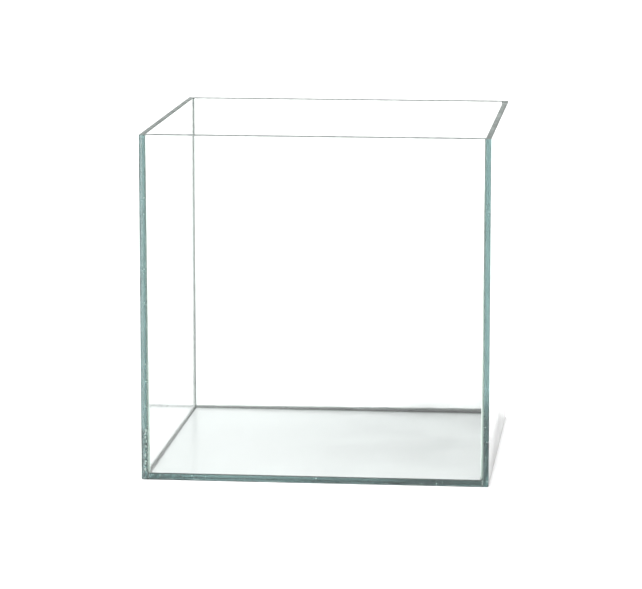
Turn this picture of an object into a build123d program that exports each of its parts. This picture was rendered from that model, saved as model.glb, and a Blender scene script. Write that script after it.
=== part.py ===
from build123d import *
import os

# A rimless glass aquarium tank: five panes butt-jointed with clear silicone.
# The front and back panes run the full width, the left and right panes stand between them,
# and the base pane lies inside all four, level with their lower edges.
# Every joint has a silicone film between the two panes and a sealing bead in its inner corner.
# Millimetres. The origin is on the surface the tank stands on, below its middle: +X is to the
# right, +Y to the back and +Z up.

# Driving dimensions
WIDTH = 300.0  # outside, left to right
DEPTH = 300.0  # outside, front to back
HEIGHT = 300.0  # outside, underside to rim
GLASS = 5.0  # thickness of every pane
FILM = 1.0  # silicone between two panes
ARRIS = 0.8  # chamfer ground on every edge of a pane
SETBACK = 0.3  # how far silicone stays inside the outer faces and the rim
HOLLOW = 0.42  # how close a bead's hollow face comes to its corner, as a share of its leg

# Leg of each upright bead on the base pane, at the shoulder height and at the rim. The wet
# silicone sagged, so the beads thicken downwards, most of all below the shoulder.
SHOULDER = 60.0
UPRIGHT_LEGS = {
    ("front", "left"): (2.5, 1.9, 0.5),
    ("front", "right"): (2.4, 1.8, 0.5),
    ("back", "left"): (1.7, 1.5, 1.3),
    ("back", "right"): (1.8, 1.5, 1.3),
}
# The upright film of the front left joint was laid thin, and stops this far inside the outer face.
THIN_SETBACK = 2.0
# Leg of the two base beads that meet in each corner: first the one on the front or back pane,
# then the one on the side pane.
BASE_LEGS = {
    ("front", "left"): (0.5, 1.8),
    ("front", "right"): (0.5, 2.0),
    ("back", "left"): (2.3, 0.7),
    ("back", "right"): (4.6, 1.4),
}

# Derived dimensions
INNER_X = WIDTH / 2 - GLASS
INNER_Y = DEPTH / 2 - GLASS
SIDE_LENGTH = 2 * (INNER_Y - FILM)
BASE_WIDTH = 2 * (INNER_X - FILM)

TO_LEFT, TO_RIGHT = (-1, 0, 0), (1, 0, 0)
TO_FRONT, TO_BACK = (0, -1, 0), (0, 1, 0)
UP = (0, 0, 1)


def pane(x_size, y_size, z_size, x, y, z):
    """A pane centred at x, y with its lower edge at z, its edges ground."""
    blank = Pos(x, y, z + z_size / 2) * Box(x_size, y_size, z_size)
    return chamfer(blank.edges(), ARRIS)


def panes():
    """The five panes of glass."""
    wall_y = DEPTH / 2 - GLASS / 2
    wall_x = WIDTH / 2 - GLASS / 2
    return {
        "front_pane": pane(WIDTH, GLASS, HEIGHT, 0, -wall_y, 0),
        "back_pane": pane(WIDTH, GLASS, HEIGHT, 0, wall_y, 0),
        "left_pane": pane(GLASS, SIDE_LENGTH, HEIGHT, -wall_x, 0, 0),
        "right_pane": pane(GLASS, SIDE_LENGTH, HEIGHT, wall_x, 0, 0),
        "base_pane": pane(BASE_WIDTH, SIDE_LENGTH, GLASS, 0, 0, 0),
    }


def to_corner(solid, end, side):
    """Moves a solid made for the front left corner to the named one, by mirroring."""
    if side == "right":
        solid = mirror(solid, about=Plane.YZ)
    if end == "back":
        solid = mirror(solid, about=Plane.XZ)
    return solid


def upright_film(end, side):
    """The upright film at that end and side, made between the front and left panes."""
    x_size = GLASS - (THIN_SETBACK if (end, side) == ("front", "left") else SETBACK)
    z_size = HEIGHT - 2 * SETBACK
    film = Box(x_size, FILM, z_size)
    return Pos(-INNER_X - x_size / 2, -INNER_Y + FILM / 2, HEIGHT / 2) * film


def base_film_front():
    """The film between the front pane and the base pane, across the whole inner width."""
    z_size = GLASS - SETBACK
    film = Box(2 * INNER_X, FILM, z_size)
    return Pos(0, -INNER_Y + FILM / 2, SETBACK + z_size / 2) * film


def base_film_left():
    """The film between the left pane and the base pane, between the front and back films."""
    z_size = GLASS - SETBACK
    film = Box(FILM, SIDE_LENGTH, z_size)
    return Pos(-INNER_X + FILM / 2, 0, SETBACK + z_size / 2) * film


def bead_section(plane, leg):
    """A bead's section: one leg on the outer pane, the other across the film, a hollow face."""
    across = leg + FILM
    with BuildSketch(plane) as section:
        with BuildLine():
            Line((0, 0), (leg, 0))
            ThreePointArc((leg, 0), (leg * HOLLOW, across * HOLLOW), (0, across))
            Line((0, across), (0, 0))
        make_face()
    return section.sketch


def bead(corner, directions, legs, stations):
    """A bead from a corner point, with a leg given at each station along it. The directions
    are the one that its leg on the outer pane points in, and the one that it runs in."""
    start = Plane(origin=corner, x_dir=directions[0], z_dir=directions[1])
    sections = [bead_section(start.offset(at), leg) for at, leg in zip(stations, legs)]
    return loft(sections, ruled=True)


def mitred(solid, corner, along, spread, other, other_spread):
    """Trims a bead that leaves a corner in the direction along, by the plane in which its edge
    meets the edge of the bead that leaves in the direction other. The bead spreads that far
    towards other, and the other one spreads other_spread towards along."""
    normal = Vector(*along) * spread - Vector(*other) * other_spread
    return split(solid, bisect_by=Plane(origin=corner, z_dir=normal), keep=Keep.TOP)


def base_bead_front(end):
    """The bead between the base pane and the pane at that end, made for the front."""
    left_corner = (-INNER_X, -INNER_Y, GLASS)
    right_corner = (INNER_X, -INNER_Y, GLASS)
    legs = (BASE_LEGS[end, "left"][0], BASE_LEGS[end, "right"][0])
    solid = bead(right_corner, (UP, TO_LEFT), legs[::-1], (0, 2 * INNER_X))
    ends = (("left", left_corner, TO_RIGHT), ("right", right_corner, TO_LEFT))
    for side, corner, along in ends:
        leg, side_leg = BASE_LEGS[end, side]
        upright_leg = UPRIGHT_LEGS[end, side][0]
        solid = mitred(solid, corner, along, leg, UP, upright_leg)
        solid = mitred(solid, corner, along, leg + FILM, TO_BACK, side_leg + FILM)
    return solid


def base_bead_left(side):
    """The bead between the base pane and the pane on that side, made for the left."""
    front_corner = (-INNER_X, -INNER_Y, GLASS)
    back_corner = (-INNER_X, INNER_Y, GLASS)
    legs = (BASE_LEGS["front", side][1], BASE_LEGS["back", side][1])
    solid = bead(front_corner, (UP, TO_BACK), legs, (0, 2 * INNER_Y))
    ends = (("front", front_corner, TO_BACK), ("back", back_corner, TO_FRONT))
    for end, corner, along in ends:
        end_leg, leg = BASE_LEGS[end, side]
        upright_leg = UPRIGHT_LEGS[end, side][0]
        solid = mitred(solid, corner, along, leg, UP, upright_leg + FILM)
        solid = mitred(solid, corner, along, leg + FILM, TO_RIGHT, end_leg + FILM)
    return solid


def upright_bead(end, side):
    """The bead in the upright inner corner at that end and side, made for the front left."""
    rim = HEIGHT - SETBACK
    corner = (-INNER_X, -INNER_Y, GLASS)
    legs = UPRIGHT_LEGS[end, side]
    end_leg, side_leg = BASE_LEGS[end, side]
    solid = bead(corner, (TO_RIGHT, UP), legs, (0, SHOULDER - GLASS, rim - GLASS))
    solid = mitred(solid, corner, UP, legs[0], TO_RIGHT, end_leg)
    return mitred(solid, corner, UP, legs[0] + FILM, TO_BACK, side_leg)


def silicone():
    """The films and beads: one of each at every joint."""
    parts = {}
    for end in ("front", "back"):
        parts[f"film_base_{end}"] = to_corner(base_film_front(), end, "left")
        parts[f"bead_base_{end}"] = to_corner(base_bead_front(end), end, "left")
        for side in ("left", "right"):
            parts[f"film_{end}_{side}"] = to_corner(upright_film(end, side), end, side)
            parts[f"bead_{end}_{side}"] = to_corner(upright_bead(end, side), end, side)
    for side in ("left", "right"):
        parts[f"film_base_{side}"] = to_corner(base_film_left(), "front", side)
        parts[f"bead_base_{side}"] = to_corner(base_bead_left(side), "front", side)
    return parts


def single_solid(shape):
    """The one solid of a shape, whatever the operation that made it wrapped it in."""
    solids = shape.solids()
    assert len(solids) == 1, f"expected one solid, got {len(solids)}"
    return solids[0]


os.makedirs("parts", exist_ok=True)
for name, shape in {**panes(), **silicone()}.items():
    solid = single_solid(shape)
    export_step(solid, f"parts/{name}.step")
    size = solid.bounding_box().size
    print(f"{name}: {solid.volume:.1f} mm3, {size.X:.2f} x {size.Y:.2f} x {size.Z:.2f} mm")
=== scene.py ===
import itertools
import math
import random

import bmesh
import bpy
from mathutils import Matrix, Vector, noise


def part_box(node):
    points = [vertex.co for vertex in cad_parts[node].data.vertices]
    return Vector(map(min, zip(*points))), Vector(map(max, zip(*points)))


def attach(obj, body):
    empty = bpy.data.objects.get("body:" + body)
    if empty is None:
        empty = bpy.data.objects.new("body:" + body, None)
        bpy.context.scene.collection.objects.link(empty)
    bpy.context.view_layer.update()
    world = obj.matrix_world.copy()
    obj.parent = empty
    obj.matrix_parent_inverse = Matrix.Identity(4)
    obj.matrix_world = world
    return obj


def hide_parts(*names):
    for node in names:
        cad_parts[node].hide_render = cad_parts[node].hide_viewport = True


# A rimless glass aquarium tank. The five panes are the CAD's own, with new materials. The films
# and beads of silicone in the joints are made here, to the CAD's sizes, as the hand-run seals
# they are: uneven, with hollow faces, and with bubbles in the films.

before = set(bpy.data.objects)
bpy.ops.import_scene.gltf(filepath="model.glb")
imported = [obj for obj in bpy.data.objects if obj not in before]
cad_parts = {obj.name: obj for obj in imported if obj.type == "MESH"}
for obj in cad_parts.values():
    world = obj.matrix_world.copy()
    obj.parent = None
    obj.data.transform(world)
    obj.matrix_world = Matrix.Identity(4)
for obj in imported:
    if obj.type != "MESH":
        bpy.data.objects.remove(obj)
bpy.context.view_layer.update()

MM = 0.001
X, Y, Z = Vector((1, 0, 0)), Vector((0, 1, 0)), Vector((0, 0, 1))
ENDS = {"front": -Y, "back": Y}
SIDES = {"left": -X, "right": X}

# The frame's own sizes
INNER_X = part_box("right_pane")[0].x
INNER_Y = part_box("back_pane")[0].y
FLOOR_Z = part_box("front_pane")[0].z
BASE_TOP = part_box("base_pane")[1].z
FILM = INNER_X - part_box("base_pane")[1].x
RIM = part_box("bead_front_left")[1].z
SHOULDER = 60 * MM  # the upright beads thicken most below this height


# ---------------------------------------------------------------- node helpers
class Nodes:
    """Builds the node tree of a material or of the world."""

    def __init__(self, owner):
        owner.use_nodes = True
        self.tree = owner.node_tree
        self.tree.nodes.clear()

    def add(self, kind, inputs=None, output=0, **settings):
        """Adds a node, sets each input to a value or links it, and returns one output."""
        node = self.tree.nodes.new("ShaderNode" + kind)
        for name, value in settings.items():
            setattr(node, name, value)
        for name, value in (inputs or {}).items():
            if isinstance(value, bpy.types.NodeSocket):
                self.tree.links.new(value, node.inputs[name])
            else:
                node.inputs[name].default_value = value
        return node.outputs[output] if node.outputs else None

    def maths(self, operation, *values):
        """A sum, product or other operation on numbers."""
        return self.add("Math", dict(enumerate(values)), operation=operation)

    def vector(self, operation, *values, output="Vector"):
        """An operation on vectors."""
        return self.add("VectorMath", dict(enumerate(values)), output, operation=operation)

    def remap(self, value, low, high, to_low=0.0, to_high=1.0):
        """A smooth step from to_low to to_high, as the value goes from low to high."""
        inputs = {"Value": value, "From Min": low, "From Max": high}
        inputs |= {"To Min": to_low, "To Max": to_high}
        return self.add("MapRange", inputs, interpolation_type="SMOOTHSTEP")

    def mix(self, share, first, second):
        """A colour between two others."""
        return self.add("Mix", {0: share, 6: first, 7: second}, 2, data_type="RGBA")

    def noise(self, size, stretch=(1, 1, 1), detail=2.0):
        """Noise with spots about that large, drawn out by stretch along each axis."""
        place = self.add("TexCoord", output="Object")
        place = self.vector("MULTIPLY", place, [1 / (size * s) for s in stretch])
        return self.add("TexNoise", {"Vector": place, "Scale": 1.0, "Detail": detail})

    def absorption(self, through, length):
        """A volume that lets that share of each colour through that length."""
        taken = [-math.log(share) / length for share in through]
        density = max(taken) * 1.1
        colour = (*(1 - t / density for t in taken), 1)
        return self.add("VolumeAbsorption", {"Color": colour, "Density": density})

    def finish(self, surface, volume=None):
        """Ends a material with a Principled surface, and with a volume where there is one."""
        ends = {"Surface": self.add("BsdfPrincipled", surface)}
        if volume:
            ends["Volume"] = volume
        self.add("OutputMaterial", ends)


# ---------------------------------------------------------------- glass
GLASS_IOR = 1.52
SILICONE_IOR = 1.41
THROUGH_GLASS = (0.175, 0.27, 0.275)  # what PATH of float glass lets through
PATH = 300 * MM
FACE_TINT = (0.99, 1.0, 0.995, 1)
EDGE_TINT = (0.94, 0.99, 0.98, 1)
ON_FACE = (0.9, 0.99)  # cosines to its axis between which a pane's arris gives way to a face
# The grey of the panes' patches: smears on the front and left panes, painted shade on the others
SMEAR_AND_SHADE_TINT = (0.5, 0.5, 0.5, 1)
SMEAR_AND_SHADE_SHARE = 0.9  # the share of a face that its grey patch covers
SMEAR_ROUGHNESS = 0.05
SMEAR_CORE = 0.2  # the share of its reach over which a grey patch is at its strongest
STREAK = 25 * MM
STREAK_STRETCH = (2.5, 2.5, 1)
DUST_PALE = (0.81, 0.825, 0.82, 1)
# dull where the base pane's patch lies: painted shade, darker towards its right
DUST_AND_SHADE_DULL = (0.56, 0.575, 0.57, 1)
DUST_SHARE = 0.35  # the share of the base pane's outside that dust, and the painted shade in its patch, cover
DUST_ROUGHNESS = 0.2
# The frost of the ground edges: its grain and roughness are the glass's own, and its deep grey
# tints are painted shade, for the room seen in the top edges, and a painted contact shadow at the
# side panes' feet.
FROST_AND_SHADE_DARK = (0.09, 0.1, 0.096, 1)
FROST_AND_SHADE_PALE = (0.34, 0.37, 0.355, 1)
GROUND_SHARE = 0.9  # the share of a ground edge that scatters light instead of passing it
GROUND_ROUGHNESS = (0.32, 0.5)
GROUND_FROM = (0.3, 0.6)  # cosines to the upright between which smooth gives way to ground
GRAIN = 0.35 * MM
GRAIN_DEPTH = 0.02 * MM
MOTTLE = 6 * MM
TOUCH = 0.05 * MM  # how near a film a pane's surface counts as wetted by it

# For each pane: the axis that its faces are square to, and the middle and the reach of its grey
# patches along each axis, in millimetres. The patches are smears on the front and left panes,
# and painted shade on the back, right and base panes.
PANE_LOOKS = {
    "front_pane": (Y, (-60, -152, 250), (60, 3, 30)),
    # the back pane's patch, low at its right, is painted shade: the tank's shadow on the floor
    # behind
    "back_pane": (Y, (190, 142, 0), (300, 20, 50)),
    "left_pane": (X, (-152, 60, 200), (3, 70, 60)),
    # the right pane's patch, low along its outside, is painted shade: the shaded floor seen in it
    "right_pane": (X, (152, -20, 0), (12, 300, 90)),
    # the base pane's patch, towards its right, is painted shade: the tank's shadow around it
    "base_pane": (Z, (200, 20, 2), (370, 330, 20)),
}


def smear_and_shade_mask(nodes, centre, reach):
    """Grey patches around a point of a pane, as far as reach along each axis, streaked like
    wiping: smears on the front and left panes, painted shade on the others.
    """
    place = nodes.add("TexCoord", output="Object")
    place = nodes.vector("DIVIDE", nodes.vector("SUBTRACT", place, centre), reach)
    near = nodes.remap(nodes.vector("LENGTH", place, output="Value"), 1.0, SMEAR_CORE)
    streaks = nodes.remap(nodes.noise(STREAK, STREAK_STRETCH), 0.2, 0.8, 0.5, 1.0)
    return nodes.maths("MULTIPLY", near, streaks)


def films_of(pane):
    """The films of silicone that a pane touches: those that are named after it."""
    wall = pane.removesuffix("_pane")
    return [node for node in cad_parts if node.startswith("film_") and wall in node]


def wetted_mask(nodes, pane):
    """1 where a pane touches one of its films of silicone, and 0 elsewhere."""
    place = nodes.add("TexCoord", output="Object")
    total = 0.0
    for film in films_of(pane):
        low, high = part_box(film)
        reach = (high - low) / 2 + Vector((TOUCH, TOUCH, TOUCH))
        step = nodes.vector("SUBTRACT", place, (low + high) / 2)
        step = nodes.vector("DIVIDE", nodes.vector("ABSOLUTE", step), reach)
        x, y, z = (nodes.add("SeparateXYZ", {"Vector": step}, axis) for axis in "XYZ")
        farthest = nodes.maths("MAXIMUM", nodes.maths("MAXIMUM", x, y), z)
        total = nodes.maths("MAXIMUM", nodes.maths("LESS_THAN", farthest, 1.0), total)
    return total


def ground_and_shade_mask(nodes, normal, inside, face):
    """1 on the surfaces of a pane that stands, with its faces square to the axis face, that take a
    grey frost: its ground top edge and upper arrises, where the frost's deep grey is painted
    shade, and on a side pane, seen from outside the glass, its bottom edge and lower arrises too,
    where the frost's tint is a painted contact shadow."""
    # seen from inside the glass, the normal points inwards
    facing = nodes.maths("MULTIPLY_ADD", inside, -2.0, 1.0)
    upwards = nodes.vector("DOT_PRODUCT", normal, Z, output="Value")
    upwards = nodes.maths("MULTIPLY", upwards, facing)
    # seen from outside, a side pane's bottom edge and lower arrises take the frost as a painted
    # contact shadow
    if face == X:
        below = nodes.maths("MULTIPLY", upwards, nodes.maths("SUBTRACT", inside, 1.0))
        upwards = nodes.maths("MAXIMUM", upwards, below)
    return nodes.remap(upwards, *GROUND_FROM)


def glass_material(pane, face, centre, reach):
    """Clear float glass for a pane with its faces square to the axis face, and with grey patches
    around
    centre, as far as reach: smears on the front and left panes, painted shade on the others. The
    pane that lies flat is dusty, and those that stand have ground edges, whose grey frost is
    partly painted shade. Patches and dust show only from outside the glass, so they don't dim the
    light in it."""
    material = bpy.data.materials.new("float_glass_" + pane)
    nodes = Nodes(material)
    normal = nodes.add("NewGeometry", output="True Normal")
    inside = nodes.add("NewGeometry", output="Backfacing")
    on_face = nodes.vector("DOT_PRODUCT", nodes.vector("ABSOLUTE", normal), face, output="Value")
    on_face = nodes.remap(on_face, *ON_FACE)
    outside = nodes.maths("MULTIPLY", on_face, nodes.maths("SUBTRACT", 1.0, inside))
    # grey patches seen from outside: smears on the front and left panes, painted shade on the
    # others
    smear_and_shade = nodes.maths("MULTIPLY", outside, smear_and_shade_mask(nodes, centre, reach))
    wetted = nodes.remap(wetted_mask(nodes, pane), 0, 1, GLASS_IOR, GLASS_IOR / SILICONE_IOR)
    colour = nodes.mix(on_face, EDGE_TINT, nodes.mix(smear_and_shade, FACE_TINT, SMEAR_AND_SHADE_TINT))
    roughness = nodes.maths("MULTIPLY", smear_and_shade, SMEAR_ROUGHNESS)
    # the diffuse share of a face has no mirror of its own
    surface = {"Specular IOR Level": 0.0, "IOR": wetted}

    if face == Z:
        # dust all over the base's outside, dull in its patch: painted shade towards the right
        colour = nodes.mix(outside, colour, nodes.mix(smear_and_shade, DUST_PALE, DUST_AND_SHADE_DULL))
        roughness = nodes.maths("MULTIPLY_ADD", outside, DUST_ROUGHNESS, roughness)
        passes = nodes.maths("MULTIPLY_ADD", outside, -DUST_SHARE, 1.0)
    else:
        ground_and_shade = ground_and_shade_mask(nodes, normal, inside, face)
        grain = nodes.noise(GRAIN, detail=3.0)
        mottle = nodes.remap(nodes.noise(MOTTLE, detail=3.0), 0.35, 0.65)
        frost = nodes.maths("MULTIPLY_ADD", grain, 0.5, nodes.maths("MULTIPLY", mottle, 0.5))
        # the frost's deep grey tint: painted shade
        colour = nodes.mix(ground_and_shade, colour, nodes.mix(frost, FROST_AND_SHADE_DARK, FROST_AND_SHADE_PALE))
        matt = nodes.remap(grain, 0.3, 0.7, *GROUND_ROUGHNESS)
        roughness = nodes.maths("MULTIPLY_ADD", matt, ground_and_shade, roughness)
        passes = nodes.maths("MULTIPLY_ADD", ground_and_shade, -GROUND_SHARE, 1.0)
        passes = nodes.maths("MULTIPLY_ADD", smear_and_shade, -SMEAR_AND_SHADE_SHARE, passes)
        bump = {"Height": nodes.maths("MULTIPLY", grain, ground_and_shade), "Distance": GRAIN_DEPTH}
        surface["Normal"] = nodes.add("Bump", bump)
    surface |= {"Base Color": colour, "Roughness": roughness, "Transmission Weight": passes}
    nodes.finish(surface, nodes.absorption(THROUGH_GLASS, PATH))
    return material


def dress_panes():
    """Gives the CAD's panes their glass."""
    for pane, (face, centre, reach) in PANE_LOOKS.items():
        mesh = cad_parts[pane].data
        mesh.materials.clear()
        mesh.materials.append(glass_material(pane, face, Vector(centre) * MM, Vector(reach) * MM))


# ---------------------------------------------------------------- silicone materials
CLOUD = 2.5 * MM
SKIN = 0.9 * MM
SKIN_DEPTH = 0.02 * MM
ON_GLASS = (0.97, 0.995)  # cosines between which a film's free side gives way to a bonded one
BUBBLE_PASSES = 0.35  # the share of the light that a bubble lets through

# For each kind: a pale and a dull tint, the least and the greatest roughness, and for the thick
# kinds the share of each colour that a millimetre lets through.
SILICONE_KINDS = {
    # The two grey kinds, for the beads at the back and along the base, are clear silicone with
    # painted shade: their grey tints and strong absorption stand in for the shade seen through the
    # beads.
    "smoky_painted_shade": ((0.6, 0.62, 0.61, 1), (0.48, 0.51, 0.5, 1), (0.1, 0.25), (0.32, 0.34, 0.33)),
    "dark_painted_shade": ((0.6, 0.62, 0.61, 1), (0.5, 0.53, 0.52, 1), (0.1, 0.25), (0.3, 0.32, 0.31)),
    "clear": ((0.93, 0.96, 0.94, 1), (0.82, 0.87, 0.84, 1), (0.08, 0.2), (0.7, 0.76, 0.73)),
    "film": ((0.98, 1.0, 0.99, 1), (0.94, 0.97, 0.95, 1), (0.0, 0.08), None),
    "bubble": ((0.9, 0.98, 0.95, 1), (0.7, 0.8, 0.77, 1), (0.2, 0.35), None),
}


def silicone_material(name, kind, wetted=None, passes=1.0):
    """Cured silicone of a kind, cloudy between its two tints, with an uneven skin that passes
    that share of the light. Faces square to the direction wetted lie on glass."""
    pale, dull, roughness, through = SILICONE_KINDS[kind]
    material = bpy.data.materials.new("silicone_" + name)
    nodes = Nodes(material)
    cloud = nodes.remap(nodes.noise(CLOUD, detail=3.0), 0.35, 0.65)
    skin = nodes.noise(SKIN)
    ior = SILICONE_IOR
    if wetted:
        normal = nodes.vector("ABSOLUTE", nodes.add("NewGeometry", output="True Normal"))
        on_glass = nodes.vector("DOT_PRODUCT", normal, wetted, output="Value")
        ior = nodes.remap(on_glass, *ON_GLASS, SILICONE_IOR, 1.0)
    nodes.finish(
        {
            "Base Color": nodes.mix(cloud, pale, dull),
            "Roughness": nodes.remap(skin, 0.3, 0.7, *roughness),
            "Transmission Weight": passes,
            "IOR": ior,
            "Normal": nodes.add("Bump", {"Height": skin, "Distance": SKIN_DEPTH}),
        },
        nodes.absorption(through, MM) if through else None,
    )
    return material


def silicone_looks():
    """The materials of each kind of silicone piece: its own, and a film's bubbles'."""
    smoky_painted_shade, dark_painted_shade, clear = (silicone_material(kind, kind) for kind in ("smoky_painted_shade", "dark_painted_shade", "clear"))
    film_end = silicone_material("film_end", "film", wetted=Y)
    film_side = silicone_material("film_side", "film", wetted=X)
    bubble = silicone_material("bubble", "bubble", passes=BUBBLE_PASSES)
    return {
        "film_end": (film_end, bubble),
        "film_side": (film_side, bubble),
        "bead_front": (clear,),
        # the back and base beads' grey is painted shade
        "bead_back": (dark_painted_shade,),
        "bead_base": (smoky_painted_shade,),
    }


# ---------------------------------------------------------------- silicone meshes
SINK = 0.02 * MM  # silicone wets the glass: its faces lie this deep in it, so no air gap shows
ARRIS = 0.8 * MM  # the panes' ground-off corners, which the beads fill
RING_STEP = 3 * MM
MENISCUS = 0.35 * MM  # how deep a film's outer face is hollow
MENISCUS_STEPS = 6
WAVER = 0.1 * MM  # how far the hand-run silicone strays from its line
WAVER_LENGTH = 9 * MM
WAVER_APART = 7.3  # how far apart in the noise the seams lie
HOLLOW = 0.4  # how close a bead's face comes to its corner, as a share of its leg
HOLLOW_STEPS = 10
NEAR = 7 * MM  # how far along its run a CAD bead is measured on both sides of a place
SHARP = math.radians(35)

# The bubbles in a film: their least and greatest radii out of it and along it, at a scale of 1,
# and their radius across it, all in millimetres
BUBBLE_OUT, BUBBLE_ALONG, BUBBLE_ACROSS = (0.25, 0.5), (0.3, 1.1), 0.34
# The silicone left between the bubbles and the film's inner and outer edges
BUBBLE_INNER_GAP, BUBBLE_OUTER_GAP = 0.2 * MM, 0.5 * MM


def waver(seed, along):
    """A smooth stray of the silicone's edge at that distance along it."""
    return WAVER * noise.noise(Vector((seed * WAVER_APART, along / WAVER_LENGTH, 0.5)))


def run_mesh(section, corner, wall, across, along, length):
    """A closed bar that starts at corner and runs along. section gives its outline at each
    distance, as steps in the directions wall and across."""
    mesh = bmesh.new()
    steps = math.ceil(length / RING_STEP)
    rows = []
    for i in range(steps + 1):
        s = length * i / steps
        centre = corner + along * s
        rows.append([mesh.verts.new(centre + wall * u + across * v) for u, v in section(s)])
    count = len(rows[0])
    for row, following in zip(rows, rows[1:]):
        for i in range(count):
            j = (i + 1) % count
            mesh.faces.new((row[i], row[j], following[j], following[i]))
    mesh.faces.new(reversed(rows[0]))
    mesh.faces.new(rows[-1])
    bmesh.ops.recalc_face_normals(mesh, faces=mesh.faces)
    return mesh


def film_section(depth):
    """A film's outline: depth deep, as thick as the joint is wide, with a hollow outer face."""
    section = [(-SINK, -SINK), (depth, -SINK)]
    for i in range(1, MENISCUS_STEPS):
        share = i / MENISCUS_STEPS
        section.append((depth - MENISCUS * math.sin(math.pi * share), FILM * share))
    return section + [(depth, FILM + SINK), (-SINK, FILM + SINK)]


def bead_section(leg):
    """A bead's outline: leg high on the outer pane, across the film to the inner pane, a
    hollow face between the two, and the inner pane's ground-off corner filled."""
    across = leg + FILM
    top, toe = Vector((leg, 0)), Vector((0, across))
    pull = (2 * HOLLOW - 0.5) * (top + toe)
    section = [(-SINK, -SINK), (leg, -SINK)]
    for i in range(1, HOLLOW_STEPS):
        t = i / HOLLOW_STEPS
        section.append(tuple(top * (1 - t) ** 2 + pull * 2 * t * (1 - t) + toe * t**2))
    return section + [(-SINK, across), (-SINK, FILM + ARRIS), (-ARRIS, FILM), (-SINK, FILM - SINK)]


def leg_at(node, along, wall, place):
    """How far a CAD bead reaches in the direction wall, near that place along its run."""
    vertices = [v.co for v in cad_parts[node].data.vertices]
    reach = [v.dot(wall) for v in vertices if abs(v.dot(along) - place) < NEAR]
    return max(reach) - min(reach)


def between(stations, s):
    """The value at s on straight lines through the stations, which are (distance, value)."""
    for (start, low), (end, high) in zip(stations, stations[1:]):
        if s <= end:
            return low + (high - low) * (s - start) / (end - start)
    return stations[-1][1]


def trim(mesh, corner, along, spread, other, other_spread):
    """Trims a bead that leaves a corner in the direction along, by the plane in which its edge
    meets the edge of the bead that leaves in the direction other. The bead spreads that far
    towards other, and the other one spreads other_spread towards along."""
    keep = (along * spread - other * other_spread).normalized()
    geometry = mesh.verts[:] + mesh.edges[:] + mesh.faces[:]
    result = bmesh.ops.bisect_plane(
        mesh, geom=geometry, plane_co=corner - keep * SINK, plane_no=keep, clear_inner=True
    )
    rim = [e for e in result["geom_cut"] if isinstance(e, bmesh.types.BMEdge)]
    bmesh.ops.contextual_create(mesh, geom=rim)
    bmesh.ops.recalc_face_normals(mesh, faces=mesh.faces)


def bubble_places(depth, groups, seed):
    """The centre and radii of each bubble in a film, as steps in the film's three directions.
    Each group is (start, end, count, scale), in millimetres along the film. They lie closer
    together towards the film's outer edge."""
    draw = random.Random(seed)
    places = []
    for start, end, count, scale in groups:
        for _ in range(count):
            out, along = draw.uniform(*BUBBLE_OUT) * scale, draw.uniform(*BUBBLE_ALONG) * scale
            radii = Vector((out, BUBBLE_ACROSS, along)) * MM
            outermost = depth - radii.x - BUBBLE_OUTER_GAP
            deep = draw.triangular(radii.x + BUBBLE_INNER_GAP, outermost, outermost)
            centre = Vector((deep, FILM / 2, draw.uniform(start, end) * MM))
            clear = all(
                abs(centre.z - c.z) > radii.z + r.z or abs(centre.x - c.x) > radii.x + r.x
                for c, r in places
            )
            if clear:
                places.append((centre, radii))
    return places


def add_bubbles(mesh, corner, directions, places):
    """Adds hollows to a film: each is a closed shell whose faces look inwards."""
    for centre, radii in places:
        middle = corner + sum((d * c for d, c in zip(directions, centre)), Vector())
        ball = bmesh.ops.create_icosphere(mesh, subdivisions=2, radius=1.0)["verts"]
        for vert in ball:
            steps = [d * a * r for d, a, r in zip(directions, vert.co, radii)]
            vert.co = middle + sum(steps, Vector())
        for face in {face for vert in ball for face in vert.link_faces}:
            face.material_index = 1
            face.normal_update()
            if face.normal.dot(face.calc_center_median() - middle) > 0:
                face.normal_flip()


def finish_piece(name, mesh, node, materials):
    """Turns a mesh into the piece that stands for a CAD node."""
    for face in mesh.faces:
        face.smooth = True
    data = bpy.data.meshes.new(name)
    mesh.to_mesh(data)
    mesh.free()
    data.set_sharp_from_angle(angle=SHARP)
    for material in materials:
        data.materials.append(material)
    piece = bpy.data.objects.new(name, data)
    bpy.context.scene.collection.objects.link(piece)
    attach(piece, "root")
    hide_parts(node)


def make_film(name, corner, directions, length, depth, groups, look, seed):
    """A film from a corner: depth deep in the first direction, and as thick as the joint in the
    second, running in the third."""
    mesh = run_mesh(lambda s: film_section(depth + waver(seed, s)), corner, *directions, length)
    add_bubbles(mesh, corner, directions, bubble_places(depth, groups, seed))
    finish_piece("silicone_" + name, mesh, name, look)


def bead_mesh(corner, directions, length, legs, seed):
    """A bead from a corner, in the same directions, with legs given as (distance, leg)."""
    def section(s):
        return bead_section(between(legs, s) * (1 + waver(seed + 0.5, s) / MM))

    return run_mesh(section, corner, *directions, length)


# ---------------------------------------------------------------- joints
# Bubbles in the films: (from, to, how many, scale), in millimetres along the joint. The most and
# the largest are at the foot of the front left one.
UPRIGHT_BUBBLES = {
    ("front", "left"): ((3, 42, 40, 1.7), (42, 290, 9, 1)),
    ("front", "right"): ((2, 40, 3, 0.8), (40, 290, 5, 0.8)),
    ("back", "left"): ((5, 290, 7, 0.8),),
    ("back", "right"): ((5, 290, 7, 0.8),),
}
BASE_BUBBLES = ((5, 283, 8, 0.8),)
FIRST_SEED, SEED_STEP = 24, 2  # of each joint's waver and bubbles


def foot_legs(end, side):
    """The legs of the three beads that meet in a foot corner: the one along the front or back
    pane, the one along the side pane, and the upright one."""
    to_end, to_side = ENDS[end], SIDES[side]
    return (
        leg_at(f"bead_base_{end}", to_side, Z, INNER_X),
        leg_at(f"bead_base_{side}", to_end, Z, INNER_Y),
        leg_at(f"bead_{end}_{side}", Z, X, BASE_TOP),
    )


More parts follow.
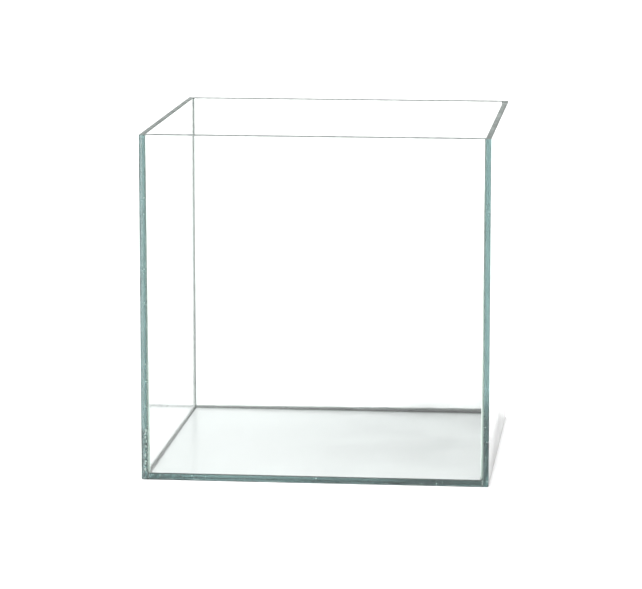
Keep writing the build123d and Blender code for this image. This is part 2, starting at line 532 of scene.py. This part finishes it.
def make_upright(end, side, looks, seed):
    """The film and the bead of an upright joint."""
    to_end, to_side = ENDS[end], SIDES[side]
    corner = to_side * INNER_X + to_end * INNER_Y
    film, bead = f"film_{end}_{side}", f"bead_{end}_{side}"
    low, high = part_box(film)
    size = high - low
    directions = (to_side, -to_end, Z)
    bubbles, look = UPRIGHT_BUBBLES[end, side], looks["film_end"]
    make_film(film, corner + Z * low.z, directions, size.z, size.x, bubbles, look, seed)

    foot = corner + Z * BASE_TOP
    legs = [(z - BASE_TOP, leg_at(bead, Z, X, z)) for z in (BASE_TOP, SHOULDER, RIM)]
    mesh = bead_mesh(foot, (-to_side, -to_end, Z), RIM - BASE_TOP, legs, seed)
    end_leg, side_leg, leg = foot_legs(end, side)
    trim(mesh, foot, Z, leg, -to_side, end_leg)
    trim(mesh, foot, Z, leg + FILM, -to_end, side_leg)
    finish_piece("silicone_" + bead, mesh, bead, looks[f"bead_{end}"])


def make_base_joint(wall, looks, seed):
    """The film and the bead between the base pane and one wall."""
    at_end = wall in ENDS
    to_wall = ENDS[wall] if at_end else SIDES[wall]
    along = X if at_end else Y
    reach, half = (INNER_Y, INNER_X) if at_end else (INNER_X, INNER_Y)
    film, bead = f"film_base_{wall}", f"bead_base_{wall}"
    low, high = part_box(film)
    length, depth = (high - low).dot(along), high.z - low.z
    middle = to_wall * reach + Z * BASE_TOP
    start = middle - along * length / 2
    look = looks["film_end" if at_end else "film_side"]
    make_film(film, start, (-Z, -to_wall, along), length, depth, BASE_BUBBLES, look, seed)

    legs = [(place + half, leg_at(bead, along, Z, place)) for place in (-half, half)]
    mesh = bead_mesh(middle - along * half, (Z, -to_wall, along), 2 * half, legs, seed)
    for inwards, end, side in ((along, "front", "left"), (-along, "back", "right")):
        corner = middle - inwards * half
        if at_end:
            leg, neighbour, upright = foot_legs(wall, side)
        else:
            neighbour, leg, upright = foot_legs(end, wall)
            upright += FILM
        trim(mesh, corner, inwards, leg, Z, upright)
        trim(mesh, corner, inwards, leg + FILM, -to_wall, neighbour + FILM)
    finish_piece("silicone_" + bead, mesh, bead, looks["bead_base"])


def make_silicone():
    """The films and beads: one of each at every joint."""
    looks = silicone_looks()
    seeds = itertools.count(FIRST_SEED, SEED_STEP)
    for end in ENDS:
        for side in SIDES:
            make_upright(end, side, looks, next(seeds))
    for wall in (*ENDS, *SIDES):
        make_base_joint(wall, looks, next(seeds))


# ---------------------------------------------------------------- floor, light and camera
FLOOR_GAP = 0.2 * MM
FLOOR_RADIUS = 14.0
FLOOR_SEGMENTS = 96
FLOOR_LOOK = {"Base Color": (0.93, 0.93, 0.93, 1), "Roughness": 0.9, "Specular IOR Level": 0.1}

# The studio's light: an even part, and soft lobes (direction, strength, and fall-off exponent).
EVEN_LIGHT = 0.85
KEY = (Vector((-0.35, -0.3, 0.9)), 2.3, 1.5)
BACKDROP = (Vector((-0.2, 1.0, 0.2)), 0.7, 3.0)

# The camera looks from a little right of the middle, and slightly down.
AZIMUTH, ELEVATION = math.radians(5.95), math.radians(9.45)
DISTANCE = 3.0
LENS, SENSOR_WIDTH = 187.5, 36
CLIP_END = 100
AIM = Vector((-9.6, 0, 139.5)) * MM

BOUNCES = 40  # enough for light to pass along a pane from one edge to the other
MIRROR_BOUNCES = 20


def make_floor():
    """A large plain floor just below the tank."""
    material = bpy.data.materials.new("paper_floor")
    Nodes(material).finish(FLOOR_LOOK)
    mesh = bmesh.new()
    bmesh.ops.create_circle(mesh, cap_ends=True, radius=FLOOR_RADIUS, segments=FLOOR_SEGMENTS)
    data = bpy.data.meshes.new("floor")
    mesh.to_mesh(data)
    mesh.free()
    data.materials.append(material)
    floor = bpy.data.objects.new("floor", data)
    floor.location.z = FLOOR_Z - FLOOR_GAP
    bpy.context.scene.collection.objects.link(floor)


def make_world():
    """Soft studio light, as a smooth function of direction."""
    world = bpy.data.worlds.new("studio")
    nodes = Nodes(world)
    place = nodes.add("TexCoord", output="Generated")
    total = EVEN_LIGHT
    for direction, strength, exponent in (KEY, BACKDROP):
        towards = nodes.vector("DOT_PRODUCT", place, direction.normalized(), output="Value")
        lobe = nodes.maths("POWER", nodes.maths("MAXIMUM", towards, 0.0), exponent)
        total = nodes.maths("MULTIPLY_ADD", lobe, strength, total)
    nodes.add("OutputWorld", {"Surface": nodes.add("Background", {"Strength": total})})
    bpy.context.scene.world = world


def make_camera():
    """A long lens that looks slightly down, through the tank's front."""
    flat = math.cos(ELEVATION)
    away = Vector((math.sin(AZIMUTH) * flat, -math.cos(AZIMUTH) * flat, math.sin(ELEVATION)))
    data = bpy.data.cameras.new("camera")
    data.lens = LENS
    data.sensor_width = SENSOR_WIDTH
    data.clip_end = CLIP_END
    camera = bpy.data.objects.new("camera", data)
    camera.location = AIM + DISTANCE * away
    camera.rotation_euler = away.to_track_quat("Z", "Y").to_euler()
    bpy.context.scene.collection.objects.link(camera)
    bpy.context.scene.camera = camera


def set_light_paths():
    """Lets light bounce often, with sharp mirrors, and shows it as it is."""
    scene = bpy.context.scene
    scene.view_settings.view_transform = "Standard"
    scene.cycles.max_bounces = BOUNCES
    scene.cycles.transmission_bounces = BOUNCES
    scene.cycles.glossy_bounces = MIRROR_BOUNCES
    scene.cycles.blur_glossy = 0.0


make_floor()
make_world()
make_camera()
set_light_paths()
dress_panes()
make_silicone()
